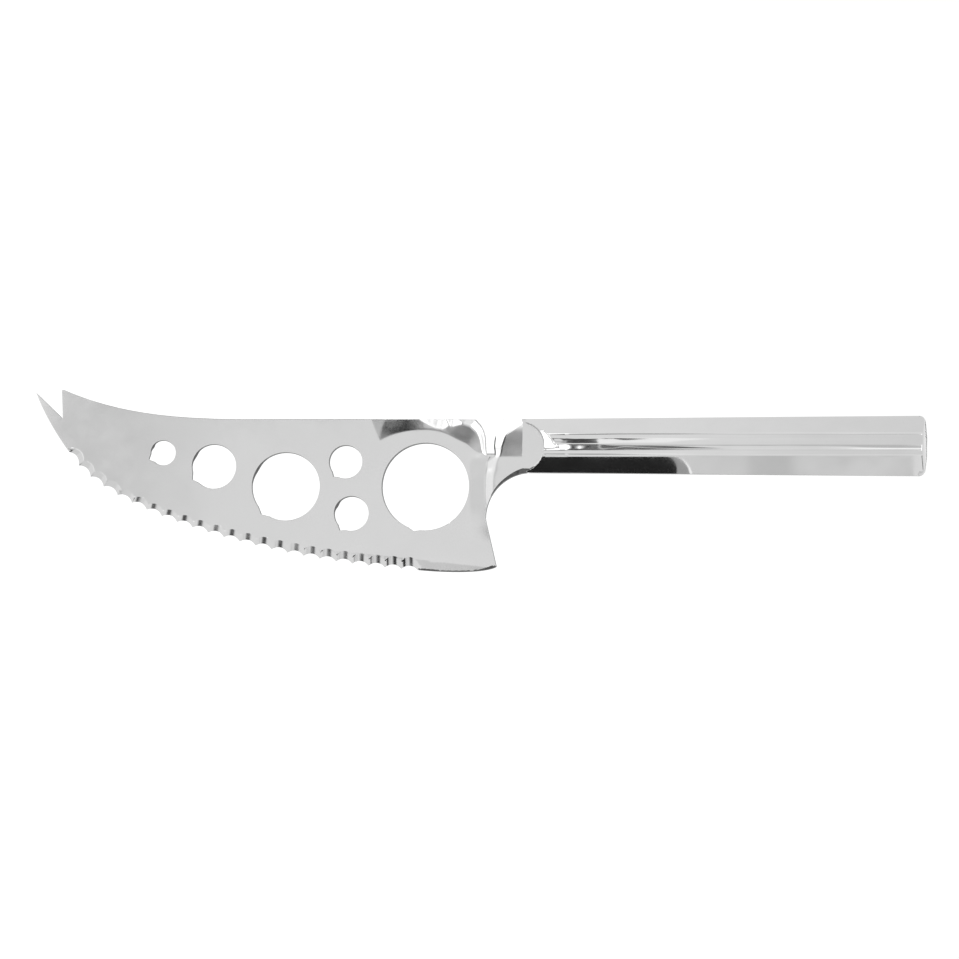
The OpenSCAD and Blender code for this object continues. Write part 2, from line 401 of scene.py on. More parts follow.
def blade_top(x, y, d_edge, hidden):
    z = front_z(x)
    # the ground faces are a little uneven, but true where the handle sits
    even_out = smooth(12.0, 8.0, x)
    z = z + even_out * (0.006 * ripple(x, y, 15.0, 3.1) + 0.0012 * ripple(x, y, 5.0, 7.7))
    z = np.minimum(z, bevel_height(x, y))
    z = z - relief(x, y)
    z = np.where(hidden, Z_FRONT, z)
    # small 45 degree edge along the plain edge
    low = (y < -20) & (x > -16.2)
    to_plain = d_edge + 0.9 * smooth(-23.5, -22.4, y)
    z = np.where(low, z + np.minimum(0, to_plain - edge_width(x)), z)
    z = np.minimum(z, Z_BACK + flute_height(x, y))
    # bevel under the neck
    rho = np.hypot(x - NC[0], y - NC[1])
    near = (y > -19) & (x > 0) & (x < X_MOUTH + 0.5)
    under_neck = Z_FRONT - neck_bevel(x) + (rho - NR)
    to_mouth = np.hypot(x - MC[0], y - MC[1])
    under_neck = under_neck + 2.0 * smooth(7.4, 6.95, to_mouth) * smooth(10.5, 11.2, x) + 1.0 * smooth(-8.5, -11.5, y)
    z = np.where(near, np.minimum(z, under_neck), z)
    soft = np.where(flute_height(x, y) < 2.4, 0, 1)
    z = z - soft * rounded(d_edge, 0.06)
    return np.maximum(z, Z_BACK + 0.03)


def ramp(x, w):
    """0 below 0 and x above, with the corner rounded over half width w."""
    return np.where(x > w, x, np.where(x > -w, (x + w) ** 2 / (4 * w), 0))


def swage(x, y):
    """The metal falls away between the large hole's flat collar and the spine."""
    c = HOLES[5][0]
    rho = np.hypot(x - c[0], y - c[1])
    phi = np.degrees(np.arctan2(y - c[1], x - c[0]))
    edge = (15.1 + 1.9 * np.clip((phi - 92) / 41, 0, 1.3) ** 1.6 + 1.0 * smooth(60, 38, phi)
            + 0.8 * smooth(36, 22, phi))
    d = rho - edge
    # beyond a shoulder it falls more steeply
    out = np.interp(phi, [30, 40, 47, 54, 60, 66, 70, 74, 80, 86, 92, 100, 108],
                    [1.5, 3.2, 4.4, 4.9, 4.5, 3.4, 2.2, 1.2, 1.1, 1.6, 2.5, 4.0, 9.0])
    steep = 0.07 + 0.20 * smooth(71, 65, phi)
    fall = (ramp(d - 0.25, 0.25) * (0.078 + 0.037 * smooth(72, 62, phi)) * (1 - 0.4 * smooth(108, 132, phi))
            + steep * ramp(d - out, 0.2))
    fall = fall * smooth(3.0, 6.5, y) + 0.17 * ramp(x - 1.4, 0.3) * smooth(3.0, 6.5, y)
    left = x - (-29.2 + (16.4 - y) * 0.38)
    return smin(fall, 0.075 * ramp(left, 0.3), 0.03)


def neck_relief(x, y):
    """Pinched neck: a shallow valley across it, deeper towards the spine."""
    x0 = 4.2 + 1.9 * smooth(0.0, 9.0, y) + 0.3 * np.clip(y - 9, 0, None)
    yr = 11.6 + 0.78 * np.clip(x - 6.3, 0, 5.4)
    h = 0.045 * ramp(y - 6.2, 0.25) + 0.0022 * np.clip(y - 6.2, 0, None) ** 2 + 0.11 * ramp(y - yr, 0.2)
    k = 0.25 + 1.3 * smooth(7.0, 3.0, y)
    g = (0.20 + 0.07 * smooth(6.0, 3.0, y)) * ramp(x0 - x, k) + 0.0015 * np.clip(11.65 - x, 0, 5.3) ** 2
    return h + g


def relief(x, y):
    """How far the front face lies below its plane."""
    low = 0.17 * ramp(x + 2.6, 0.8) * smooth(8.0, 4.0, y) * smooth(-19.0, -2.0, y)
    spine = 0.45 + 0.32 * (y - 15.0) - 0.35 * np.clip(-7.6 - x, 0, None)
    t = np.maximum(np.maximum(swage(x, y), low), spine)
    t = smin(t, neck_relief(x, y), 0.06)
    t = smin(t, 0.64 + 0.105 * (y - 9.6) + 0.35 * ramp(6.6 - y, 0.4), 0.04)
    return np.where(x < 11.64, t, 0)


grids = [grid_points(-121, 13.5, -25.5, 25.5, 1.0)]
belly_pts = even(BELLY, 500)
g = grid_points(-113, -12, -25.5, 12, 0.26)
near_belly = nearest(belly_pts, g[:, 0], g[:, 1]) < 4.0
fine = g[near_belly]
g = grid_points(-31, 13, 4.5, 16.4, 0.34)
g = g[np.hypot(g[:, 0] + 14.4, g[:, 1] + 1.8) > 13.0]
neck_fine = g
g = grid_points(-16, 13, -25, 4.5, 0.45)
d = np.minimum(np.abs(np.hypot(g[:, 0] - NC[0], g[:, 1] - NC[1]) - NR), np.abs(g[:, 1] + 24.6))
low_fine = g[d < 2.6]
g = grid_points(-8, 9, -20, 4.5, 0.5)
d = np.minimum(np.abs(np.hypot(g[:, 0] - NC[0], g[:, 1] - NC[1]) - NR), np.abs(g[:, 1] + 24.6))
band_fine = g[d > 2.6]
coarse = grids[0]
d = nearest(belly_pts, coarse[:, 0], coarse[:, 1])
coarse = coarse[(d > 4.2)
                & ~((coarse[:, 0] > -31) & (coarse[:, 1] > 4.3)
                    & (np.hypot(coarse[:, 0] + 14.4, coarse[:, 1] + 1.8) > 12.8))
                & ~((coarse[:, 0] > -8) & (coarse[:, 0] < 9) & (coarse[:, 1] > -20) & (coarse[:, 1] < 4.6))]
tang = grid_points(13.5, 66, 4, 14, 2.0)
grid = np.concatenate([coarse, fine, neck_fine, low_fine, band_fine, tang])

# rows beside the edges carry their small rounding
for loop in [outline] + hole_loops[:6]:
    p = np.asarray(loop)
    nx = np.roll(p, -1, axis=0) - np.roll(p, 1, axis=0)
    nx = nx / np.maximum(np.linalg.norm(nx, axis=1), 1e-9)[:, None]
    side = np.c_[-nx[:, 1], nx[:, 0]]
    area = 0.5 * np.sum(p[:, 0] * np.roll(p[:, 1], -1) - np.roll(p[:, 0], -1) * p[:, 1])
    inward = side * (1 if area > 0 else -1) * (1 if loop is outline else -1)
    for off in (0.035, 0.08, 0.14, -0.5, -0.92, -1.0, -1.08):
        step = off if off > 0 else -off * edge_width(p[:, 0])[:, None]
        q = p + inward * step
        if off < 0:
            q = q[(q[:, 1] < -22) & (q[:, 0] > -16.0) & (q[:, 0] < 5.2)]
        grid = np.concatenate([grid, np.c_[q, np.full(len(q), 0.06)]])

pv, pf = plan_mesh(outline, hole_loops, creases, grid)
rim_pts = np.concatenate([outline] + hole_loops[:6])
dense = []
for loop in [outline] + hole_loops[:6]:
    q = np.roll(loop, -1, axis=0)
    for s in np.linspace(0, 1, 6)[:-1]:
        dense.append(loop + (q - loop) * s)
d_edge = nearest(np.concatenate(dense), pv[:, 0], pv[:, 1])
hidden = (pv[:, 0] > X_MOUTH + 0.01) & (np.hypot(pv[:, 0] - MC[0], pv[:, 1] - MC[1]) > 6.72)
top = blade_top(pv[:, 0], pv[:, 1], d_edge, hidden)
back_soft = np.where(flute_height(pv[:, 0], pv[:, 1]) < 0.4, 0, 1)
under = Z_BACK + back_soft * rounded(d_edge, 0.08) + 0.006 * back_soft * np.abs(ripple(pv[:, 0], pv[:, 1], 11.0, 9.3))
under = np.minimum(under, top - 0.025)
# punched walls lean a little: the hole is wider at the front than at the back
lean = np.zeros((len(pv), 2))
for (hc, hr, _), loop in zip(HOLES, hole_loops):
    on_rim = nearest(loop, pv[:, 0], pv[:, 1]) < 0.004
    to_c = np.array(hc) - pv
    to_c /= np.maximum(np.linalg.norm(to_c, axis=1), 1e-6)[:, None]
    ang = np.degrees(np.arctan2(-to_c[:, 1], -to_c[:, 0]))
    extra = 0.0 if hr in (4.5, 11.8) else 0.34
    lean += to_c * (on_rim * (0.10 + extra * np.exp(-((ang - 150) / 15.0) ** 2)))[:, None]
blade, blade_kind = slab("blade_ground", pv, pf, top, under, lean=lean)
# the narrow 45 degree edge keeps its grinding marks; its near-black base is painted dark reflection
on_edge = (d_edge < edge_width(pv[:, 0]) + 0.005) & (pv[:, 1] < -23.0) & (pv[:, 0] > -16.3) & (pv[:, 0] < 5.2)
blade_kind[:len(pf)][on_edge[pf].all(axis=1)] = 1
# and so does the bevel under the neck, near-black as painted dark reflection
rho = np.hypot(pv[:, 0] - NC[0], pv[:, 1] - NC[1])
on_bevel = (rho < NR + neck_bevel(pv[:, 0]) + 0.02) & (pv[:, 0] > 3.2) & (pv[:, 0] < 14.0) & (pv[:, 1] > -7.0)
blade_kind[:len(pf)][on_bevel[pf].all(axis=1)] = 1


# ---------------------------------------------------------------------------
# Handle shells
# ---------------------------------------------------------------------------
def shell_outline():
    p = []
    wb = lambda x: AXIS_Y - float(half_w(x))
    wt = lambda x: AXIS_Y + float(half_w(x))
    xe = X_END - CORNER
    p += line((X_MOUTH, wb(X_MOUTH)), (xe, wb(xe)), 1.0)
    p += arc((xe, wb(X_END) + CORNER), CORNER, -math.pi / 2, 0, 0.15)
    p += line((X_END, wb(X_END) + CORNER), (X_END, wt(X_END) - CORNER), 0.25)
    p += arc((xe, wt(X_END) - CORNER), CORNER, 0, math.pi / 2, 0.15)
    p += line((xe, wt(xe)), (X_MOUTH, wt(X_MOUTH)), 1.0)
    a = math.acos((X_MOUTH - MC[0]) / V_MOUTH_R)
    p += line((X_MOUTH, wt(X_MOUTH)), (X_MOUTH, MC[1] + V_MOUTH_R * math.sin(a)), 0.2)
    p += arc(MC, V_MOUTH_R, a, -a, 0.2)
    p += line((X_MOUTH, MC[1] - V_MOUTH_R * math.sin(a)), (X_MOUTH, wb(X_MOUTH)), 0.2)
    return np.array(p)


V_MOUTH_R = 6.7
V_FLARE = 0.12
GR = (GROOVE_W ** 2 / 4 + GROOVE_D ** 2) / (2 * GROOVE_D)


def section_top(x, y, seed):
    u = y - AXIS_Y
    slope = ZM - (np.abs(u) - LAND) * math.tan(SLOPE)
    land = np.full(u.shape, ZM)
    ripples = 0.0012 * ripple(x, y, 17.0, seed) + 0.0003 * ripple(x, y, 6.0, seed + 2)
    z = smin(land, slope, 0.30) + ripples
    # the pressed groove is a little uneven
    g = ZM - GROOVE_D + GR - np.sqrt(np.clip(GR * GR - u * u, 0.01, None))
    marked = np.exp(-((x - 28.5) / 7.5) ** 4)
    g = g * (1 - marked) + (ZM - GROOVE_D + 0.226 * np.sqrt(u * u + 0.01)) * marked
    g = g + 0.006 * ripple(x, y, 9.0, seed + 4) + 0.014 * marked * ripple(x, y, 2.1, seed)
    z = np.where(np.abs(u) < 2.4, smin(z, g, 0.06), z)
    # small facet where the groove runs out at the mouth
    d = (x - 21.6) * -0.779 + (y - 8.6) * -0.627
    facet = ZM - 0.08 - np.clip(d, 0, None) * math.tan(math.radians(12))
    w = smooth(-0.12, 0.22, d) * smooth(7.9, 8.25, y) * smooth(13.3, 12.9, y)
    z = z * (1 - w) + facet * w
    return z


def shell_top(x, y, d_end, d_side, seed):
    z = section_top(x, y, seed)
    rho = np.hypot(x - MC[0], y - MC[1])
    cone = PLATE / 2 + (rho - V_MOUTH_R) / V_FLARE
    z = np.where(rho < 12, smin(z, cone, 0.30), z)
    z = z - rounded(d_end, 0.28)
    return np.maximum(z, 0.06)


def shell_under(x, y, on_rim, d_side):
    u = y - AXIS_Y
    top = ZM - WALL
    c = LAND * math.sin(SLOPE) + ZM * math.cos(SLOPE) - WALL
    inner = np.minimum(top, (c - np.abs(u) * math.sin(SLOPE)) / math.cos(SLOPE))
    rho = np.hypot(x - MC[0], y - MC[1])
    cone = PLATE / 2 + (rho - TONGUE_R) / FLARE
    hollow = np.minimum(inner, cone)
    hollow = np.where((np.abs(u) < half_w(x) - WALL + 0.001) & (x > X_MOUTH + WALL), hollow, 0)
    base = np.where(rho < TONGUE_R + 0.02, PLATE / 2, 0)
    weld = (d_side < 0.35) & (x > X_MOUTH + WALL) & (x < X_END - CAP_T - 0.5)
    base = np.where(weld, 0.3, base)
    return np.maximum(hollow, base)


s_out = shell_outline()
edge_rows = []
for s in (1, -1):
    edge_rows.append(line((X_MOUTH + WALL, AXIS_Y + s * (float(half_w(X_MOUTH + WALL)) - WALL)),
                          (X_END - 0.05, AXIS_Y + s * (float(half_w(X_END)) - WALL)), 1.5))
offs = [0.0]
for k in range(1, 7):
    offs.append(k * 0.22)
offs += [1.43, 1.5, 1.55, 1.6, 1.68, 1.8, 2.05, 2.3, 2.5, 2.6, 2.68, 2.76, 2.84, 2.92, 3.0, 3.1, 3.25,
         3.6, 4.1, 4.6, 5.1, 5.6, 6.1, 6.6]
rows = []
for u in sorted(set([o for o in offs] + [-o for o in offs])):
    rows += [(x, AXIS_Y + u, 0.10) for x in np.arange(24.0, X_END - 0.7, 0.9)]
for x in (X_END - 0.46, X_END - 0.36, X_END - 0.26, X_END - 0.17, X_END - 0.09, X_END - 0.03):
    rows += [(x, y, 0.05) for y in np.arange(AXIS_Y - 7.9, AXIS_Y + 7.9, 0.25)]
# rows beside the long sides
for off in (0.4, 0.7):
    for s in (1, -1):
        rows += [(x, AXIS_Y + s * (float(half_w(x)) - off), 0.05)
                 for x in np.arange(X_MOUTH + 0.2, X_END - 0.8, 0.9)]
rows = np.array(rows)
near_mouth = grid_points(X_MOUTH, 24, 1, 17, 0.27)
ring = []
for r in (6.73, 6.77, 6.82, 6.88, 6.95, 7.02, 7.08, 7.13, 7.17, 7.2, 7.23, 7.26, 7.3, 7.35, 7.42, 7.52, 7.7, 7.9):
    for a in np.arange(-1.45, 1.45, 0.03):
        ring.append((MC[0] + r * math.cos(a), MC[1] + r * math.sin(a), 0.05))
ring = np.array([q for q in ring if q[0] > X_MOUTH + 0.03])
sv, sf = plan_mesh(s_out, [], edge_rows, np.concatenate([rows, near_mouth, ring]))
sx, sy = sv[:, 0], sv[:, 1]
d_end = X_END - sx
cx = X_END - CORNER
for s in (1, -1):
    cy = AXIS_Y + s * (float(half_w(X_END)) - CORNER)
    corner = (sx > cx) & (s * (sy - cy) > 0)
    d_end = np.where(corner, CORNER - np.hypot(sx - cx, sy - cy), d_end)
d_side = half_w(sx) - np.abs(sy - AXIS_Y)
d_side = np.where(d_end < CORNER, np.maximum(d_side, 0) + 0, d_side)
z_under = shell_under(sx, sy, None, d_side)
shells = {}
for node, seed, flip in (("handle_front_shell", 1.3, None), ("handle_back_shell", 5.9, 2 * ZM)):
    zt = shell_top(sx, sy, d_end, np.clip(d_side, 0, None), seed)
    zt = np.maximum(zt, z_under + 0.03)
    ob, kind = slab(node + "_skin", sv, sf, ZM + zt, ZM + z_under, mirror_z=flip)
    shells[node] = (ob, kind)


# ---------------------------------------------------------------------------
# End cap, seam welds, mouth welds
# ---------------------------------------------------------------------------
def mesh_object(name, verts, faces, smooth_angle=30):
    me = bpy.data.meshes.new(name)
    me.from_pydata([tuple(np.array(p) * 0.001) for p in verts], [], faces)
    me.validate()
    me.polygons.foreach_set("use_smooth", [True] * len(me.polygons))
    me.update()
    me.set_sharp_from_angle(angle=math.radians(smooth_angle))
    ob = bpy.data.objects.new(name, me)
    bpy.context.scene.collection.objects.link(ob)
    return ob


def stack(name, rings, closed_ends=True, angle=30):
    """A tube through rings of equal length, closed at both ends with one polygon each."""
    n = len(rings[0])
    verts = [p for r in rings for p in r]
    faces = []
    for k in range(len(rings) - 1):
        for i in range(n):
            j = (i + 1) % n
            faces.append((k * n + i, k * n + j, (k + 1) * n + j, (k + 1) * n + i))
    if closed_ends:
        faces.append(tuple(reversed(range(n))))
        faces.append(tuple(range((len(rings) - 1) * n, len(rings) * n)))
    return mesh_object(name, verts, faces, angle)


def cap_ring(x, inset):
    """The cap's outline at x: the hollow's section, drawn in by inset."""
    w = float(half_w(X_END)) - WALL - inset
    top = ZM - WALL - inset
    c = LAND * math.sin(SLOPE) + ZM * math.cos(SLOPE) - WALL - inset
    zc = (c - w * math.sin(SLOPE)) / math.cos(SLOPE)
    l = (c - top * math.cos(SLOPE)) / math.sin(SLOPE)
    corners = [(w, max(zc, 0.05)), (l, top), (-l, top), (-w, max(zc, 0.05)),
               (-w, -max(zc, 0.05)), (-l, -top), (l, -top), (w, -max(zc, 0.05))]
    out = []
    for i, a in enumerate(corners):
        b = corners[(i + 1) % 8]
        for t in np.linspace(0, 1, 7)[:-1]:
            out.append((x, AXIS_Y + a[0] + (b[0] - a[0]) * t, ZM + a[1] + (b[1] - a[1]) * t))
    return out


cap = stack("end_cap_plate", [cap_ring(X_END - CAP_T, 0.0), cap_ring(X_END - 0.20, 0.0),
                              cap_ring(X_END - 0.10, 0.03), cap_ring(X_END - 0.05, 0.10),
                              cap_ring(X_END - 0.03, 0.22)], angle=40)


def seam(name, s):
    x0, x1 = X_MOUTH + WALL, X_END - CAP_T - 0.5
    rings = []
    for x in np.arange(x0, x1 + 0.01, 0.4):
        w = float(half_w(x))
        crown = -0.012 + 0.001 * math.sin(x * 5.1) + 0.001 * math.sin(x * 2.3 + 1)
        ring_pts = []
        prof = [(-0.5, -0.29), (-0.5, 0.29)] + [
            (-0.03 + (0.03 + crown) * math.cos(a), 0.29 * math.sin(a))
            for a in np.linspace(math.pi / 2, -math.pi / 2, 9)]
        for du, dz in prof:
            ring_pts.append((x, AXIS_Y + s * (w + du), ZM + dz))
        rings.append(ring_pts if s > 0 else ring_pts[::-1])
    return stack(name, rings, angle=50)


seam_top = seam("upper_seam_bead", 1)
seam_low = seam("lower_seam_bead", -1)


def fillet(name, up):
    """Concave bead round the foot of the mouth."""
    a = math.acos((X_MOUTH - MC[0]) / V_MOUTH_R) - 0.01
    leg = 0.3
    rings = []
    for w in np.linspace(-a, a, 90):
        wob = 1 + 0.05 * math.sin(w * 23) + 0.04 * math.sin(w * 41 + 1)
        q = [(V_MOUTH_R + 0.03, -0.02)]
        for t in np.linspace(0, math.pi / 2, 8):
            q.append((V_MOUTH_R - leg * wob * (1 - math.sin(t)) + V_FLARE * leg * 0.5 * (1 - math.cos(t)),
                      leg * wob * (1 - math.cos(t)) + 0.004))
        q.append((V_MOUTH_R + V_FLARE * leg + 0.03, leg * wob))
        rings.append([(MC[0] + r * math.cos(w), MC[1] + r * math.sin(w), ZM + up * (PLATE / 2 + z)) for r, z in
                      (q if up < 0 else q[::-1])])
    return stack(name, rings, angle=50)


weld_front = fillet("mouth_bead_front", 1)
weld_back = fillet("mouth_bead_back", -1)


# ---------------------------------------------------------------------------
# Materials
# ---------------------------------------------------------------------------
def tree_of(name):
    m = bpy.data.materials.new(name)
    m.use_nodes = True
    t = m.node_tree
    b = t.nodes["Principled BSDF"]
    return m, t, b


def node(t, kind, **values):
    n = t.nodes.new(kind)
    for k, v in values.items():
        if k.startswith("in_"):
            n.inputs[k[3:].replace("_", " ")].default_value = v
        else:
            setattr(n, k, v)
    return n


def steel(name, base, rough, line_scale, line_axis, seed, tint=0.03, scratch=0.35):
    """Polished stainless steel: fine polishing lines, cloudy polish, faint scratches."""
    m, t, b = tree_of(name)
    b.inputs["Metallic"].default_value = 1.0
    b.inputs["IOR"].default_value = 2.4
    co = node(t, "ShaderNodeTexCoord")
    mp = node(t, "ShaderNodeMapping")
    mp.inputs["Location"].default_value = (seed, seed * 0.7, seed * 0.3)
    t.links.new(co.outputs["Object"], mp.inputs["Vector"])
    # cloudy polish, a few millimetres across
    cloud = node(t, "ShaderNodeTexNoise", in_Scale=95.0, in_Detail=5.0, in_Roughness=0.62)
    t.links.new(mp.outputs["Vector"], cloud.inputs["Vector"])
    broad = node(t, "ShaderNodeTexNoise", in_Scale=24.0, in_Detail=3.0, in_Roughness=0.5)
    t.links.new(mp.outputs["Vector"], broad.inputs["Vector"])
    # polishing lines, stretched along the working direction
    ms = node(t, "ShaderNodeMapping")
    s = [line_scale] * 3
    s[line_axis] = line_scale * 0.012
    ms.inputs["Scale"].default_value = s
    t.links.new(co.outputs["Object"], ms.inputs["Vector"])
    lines = node(t, "ShaderNodeTexNoise", in_Scale=1.0, in_Detail=3.0, in_Roughness=0.7)
    t.links.new(ms.outputs["Vector"], lines.inputs["Vector"])
    # base colour: grey with a slow, slight change
    ramp = node(t, "ShaderNodeMapRange")
    ramp.inputs["From Min"].default_value = 0.3
    ramp.inputs["From Max"].default_value = 0.7
    ramp.inputs["To Min"].default_value = base - tint
    ramp.inputs["To Max"].default_value = base + tint * 0.6
    mixn = node(t, "ShaderNodeMath", operation="ADD")
    half = node(t, "ShaderNodeMath", operation="MULTIPLY")
    half.inputs[1].default_value = 0.5
    t.links.new(cloud.outputs["Fac"], mixn.inputs[0])
    t.links.new(broad.outputs["Fac"], mixn.inputs[1])
    t.links.new(mixn.outputs[0], half.inputs[0])
    t.links.new(half.outputs[0], ramp.inputs["Value"])
    col = node(t, "ShaderNodeCombineColor")
    for ch in ("Red", "Green", "Blue"):
        t.links.new(ramp.outputs["Result"], col.inputs[ch])
    t.links.new(col.outputs["Color"], b.inputs["Base Color"])
    # roughness: polish with slightly duller clouds
    rr = node(t, "ShaderNodeMapRange")
    rr.inputs["From Min"].default_value = 0.35
    rr.inputs["From Max"].default_value = 0.75
    rr.inputs["To Min"].default_value = rough * 0.7
    rr.inputs["To Max"].default_value = rough * 1.7
    t.links.new(cloud.outputs["Fac"], rr.inputs["Value"])
    t.links.new(rr.outputs["Result"], b.inputs["Roughness"])
    # bump: lines and a very slight orange peel
    b1 = node(t, "ShaderNodeBump")
    b1.inputs["Strength"].default_value = 0.05 * scratch
    b1.inputs["Distance"].default_value = 0.000004
    t.links.new(lines.outputs["Fac"], b1.inputs["Height"])
    b2 = node(t, "ShaderNodeBump")
    b2.inputs["Strength"].default_value = 0.10
    b2.inputs["Distance"].default_value = 0.000012
    t.links.new(cloud.outputs["Fac"], b2.inputs["Height"])
    t.links.new(b1.outputs["Normal"], b2.inputs["Normal"])
    t.links.new(b2.outputs["Normal"], b.inputs["Normal"])
    return m


def cut_steel(name, base, rough, seed):
    """Blanked or ground edge: duller, with fine cross lines. The low base colour it is given is painted dark
    reflection, darker than the steel itself.
    """
    m, t, b = tree_of(name)
    b.inputs["Metallic"].default_value = 1.0
    co = node(t, "ShaderNodeTexCoord")
    ms = node(t, "ShaderNodeMapping")
    ms.inputs["Scale"].default_value = (900, 900, 120)
    ms.inputs["Location"].default_value = (seed, 0, 0)
    t.links.new(co.outputs["Object"], ms.inputs["Vector"])
    n1 = node(t, "ShaderNodeTexNoise", in_Scale=1.0, in_Detail=4.0, in_Roughness=0.6)
    t.links.new(ms.outputs["Vector"], n1.inputs["Vector"])
    mr = node(t, "ShaderNodeMapRange")
    mr.inputs["From Min"].default_value = 0.3
    mr.inputs["From Max"].default_value = 0.7
    mr.inputs["To Min"].default_value = base * 0.75
    mr.inputs["To Max"].default_value = base * 1.2
    t.links.new(n1.outputs["Fac"], mr.inputs["Value"])
    col = node(t, "ShaderNodeCombineColor")
    for ch in ("Red", "Green", "Blue"):
        t.links.new(mr.outputs["Result"], col.inputs[ch])
    t.links.new(col.outputs["Color"], b.inputs["Base Color"])
    rr = node(t, "ShaderNodeMapRange")
    rr.inputs["To Min"].default_value = rough * 0.8
    rr.inputs["To Max"].default_value = rough * 1.2
    t.links.new(n1.outputs["Fac"], rr.inputs["Value"])
    t.links.new(rr.outputs["Result"], b.inputs["Roughness"])
    bp = node(t, "ShaderNodeBump")
    bp.inputs["Strength"].default_value = 0.25
    bp.inputs["Distance"].default_value = 0.00005
    t.links.new(n1.outputs["Fac"], bp.inputs["Height"])
    t.links.new(bp.outputs["Normal"], b.inputs["Normal"])
    return m


mat_blade = steel("blade_polish", 0.60, 0.11, 2600, 1, 0.11)
mat_handle = steel("handle_polish", 0.61, 0.03, 2600, 0, 0.53)
# cap and end faces: base 0.48, darker than the 0.60 steel, is painted shade holding down the bright reflection on the
# handle's end
mat_cap_painted_shade = steel("cap_polish_painted_shade", 0.48, 0.12, 2200, 1, 0.87)
mat_end_painted_shade = steel("end_ground_painted_shade", 0.48, 0.14, 2200, 1, 2.61)
mat_weld = steel("weld_polish", 0.56, 0.24, 1500, 2, 1.31)
# seam beads: ground steel whose near-black base is painted dark reflection
mat_seam_painted_dark = steel("seam_ground_painted_dark", 0.13, 0.30, 1500, 2, 2.17, tint=0.02)
# side_band_painted_dark: the near-black base on the narrow upright bands is painted dark reflection
mat_side_painted_dark = cut_steel("side_band_painted_dark", 0.12, 0.35, 1.7)
# cut_edge_painted_dark: the near-black base on the blade's cut edges is painted dark reflection
mat_cut_painted_dark = cut_steel("cut_edge_painted_dark", 0.10, 0.42, 0.2)


def resin_material():
    m, t, b = tree_of("cast_resin")
    co = node(t, "ShaderNodeTexCoord")
    n1 = node(t, "ShaderNodeTexNoise", in_Scale=400.0, in_Detail=6.0, in_Roughness=0.6)
    t.links.new(co.outputs["Object"], n1.inputs["Vector"])
    cr = node(t, "ShaderNodeValToRGB")
    cr.color_ramp.elements[0].color = (0.30, 0.24, 0.13, 1)
    cr.color_ramp.elements[1].color = (0.52, 0.44, 0.28, 1)
    t.links.new(n1.outputs["Fac"], cr.inputs["Fac"])
    t.links.new(cr.outputs["Color"], b.inputs["Base Color"])
    b.inputs["Roughness"].default_value = 0.55
    bp = node(t, "ShaderNodeBump")
    bp.inputs["Strength"].default_value = 0.3
    bp.inputs["Distance"].default_value = 0.0001
    t.links.new(n1.outputs["Fac"], bp.inputs["Height"])
    t.links.new(bp.outputs["Normal"], b.inputs["Normal"])
    return m


mat_resin = resin_material()


def dress(ob, *mats, kind=None):
    ob.data.materials.clear()
    for m in mats:
        ob.data.materials.append(m)
    if kind is not None:
        ob.data.polygons.foreach_set("material_index", kind.astype(np.int32))
    ob.data.update()


# the blade's side walls, plain edge and neck bevel get the near-black cut-edge steel: painted dark reflection
dress(blade, mat_blade, mat_cut_painted_dark, kind=blade_kind)
for node_name, (ob, kind) in shells.items():
    # the narrow upright bands beside the seams get a near-black base, which is painted dark reflection
    for poly in ob.data.polygons:
        if kind[poly.index] == 1:
            px, py = poly.center.x * 1000, poly.center.y * 1000
            kind[poly.index] = int(abs(py - AXIS_Y) > float(half_w(px)) - 0.12 and px < X_END - 0.4)
            # the end faces take the darker base: painted shade
            if px > X_END - 0.02:
                kind[poly.index] = 2
    dress(ob, mat_handle, mat_side_painted_dark, mat_end_painted_shade, kind=kind)
# end cap: darker base, painted shade
dress(cap, mat_cap_painted_shade)
for ob in (weld_front, weld_back):
    # the ends of the fillets run out into the ground edge under the neck, and share its painted dark reflection
    low_end = [int(poly.center.y * 1000 < MC[1] - 5.2) for poly in ob.data.polygons]
    dress(ob, mat_weld, mat_cut_painted_dark, kind=np.array(low_end))
# seam beads: near-black base, painted dark reflection
for ob in (seam_top, seam_low):
    dress(ob, mat_seam_painted_dark)

for ob, cad, slot in (
    (blade, "blade", "blade_steel"),
    (shells["handle_front_shell"][0], "handle_front_shell", "handle_steel"),
    (shells["handle_back_shell"][0], "handle_back_shell", "handle_steel"),
    (cap, "end_cap", "cap_steel"),
    (seam_top, "upper_seam_weld", "weld_steel"),
    (seam_low, "lower_seam_weld", "weld_steel"),
    (weld_front, "mouth_weld_front", "weld_steel"),
    (weld_back, "mouth_weld_back", "weld_steel"),
):
    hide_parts(cad)
    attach(ob, "root")
resin = nodes["tang_resin"]
resin.data.materials.clear()
resin.data.materials.append(mat_resin)

# ---------------------------------------------------------------------------
# Studio: pale floor, white surround, dark flags outside the view
# ---------------------------------------------------------------------------
scene = bpy.context.scene
scene.view_settings.view_transform = "Standard"
scene.view_settings.look = "None"
scene.view_settings.exposure = 0.0
scene.view_settings.gamma = 1.0

world = bpy.data.worlds.new("studio")
scene.world = world
world.use_nodes = True
wt = world.node_tree
bg = wt.nodes["Background"]
bg.inputs["Color"].default_value = (1, 1, 1, 1)
bg.inputs["Strength"].default_value = 1.12


def flat_material(name, value, emit=None):
    m, t, b = tree_of(name)
    b.inputs["Base Color"].default_value = (value, value, value, 1)
    b.inputs["Roughness"].default_value = 0.9
    b.inputs["Specular IOR Level"].default_value = 0.0
    if emit is not None:
        b.inputs["Emission Color"].default_value = (1, 1, 1, 1)
        b.inputs["Emission Strength"].default_value = emit
    return m


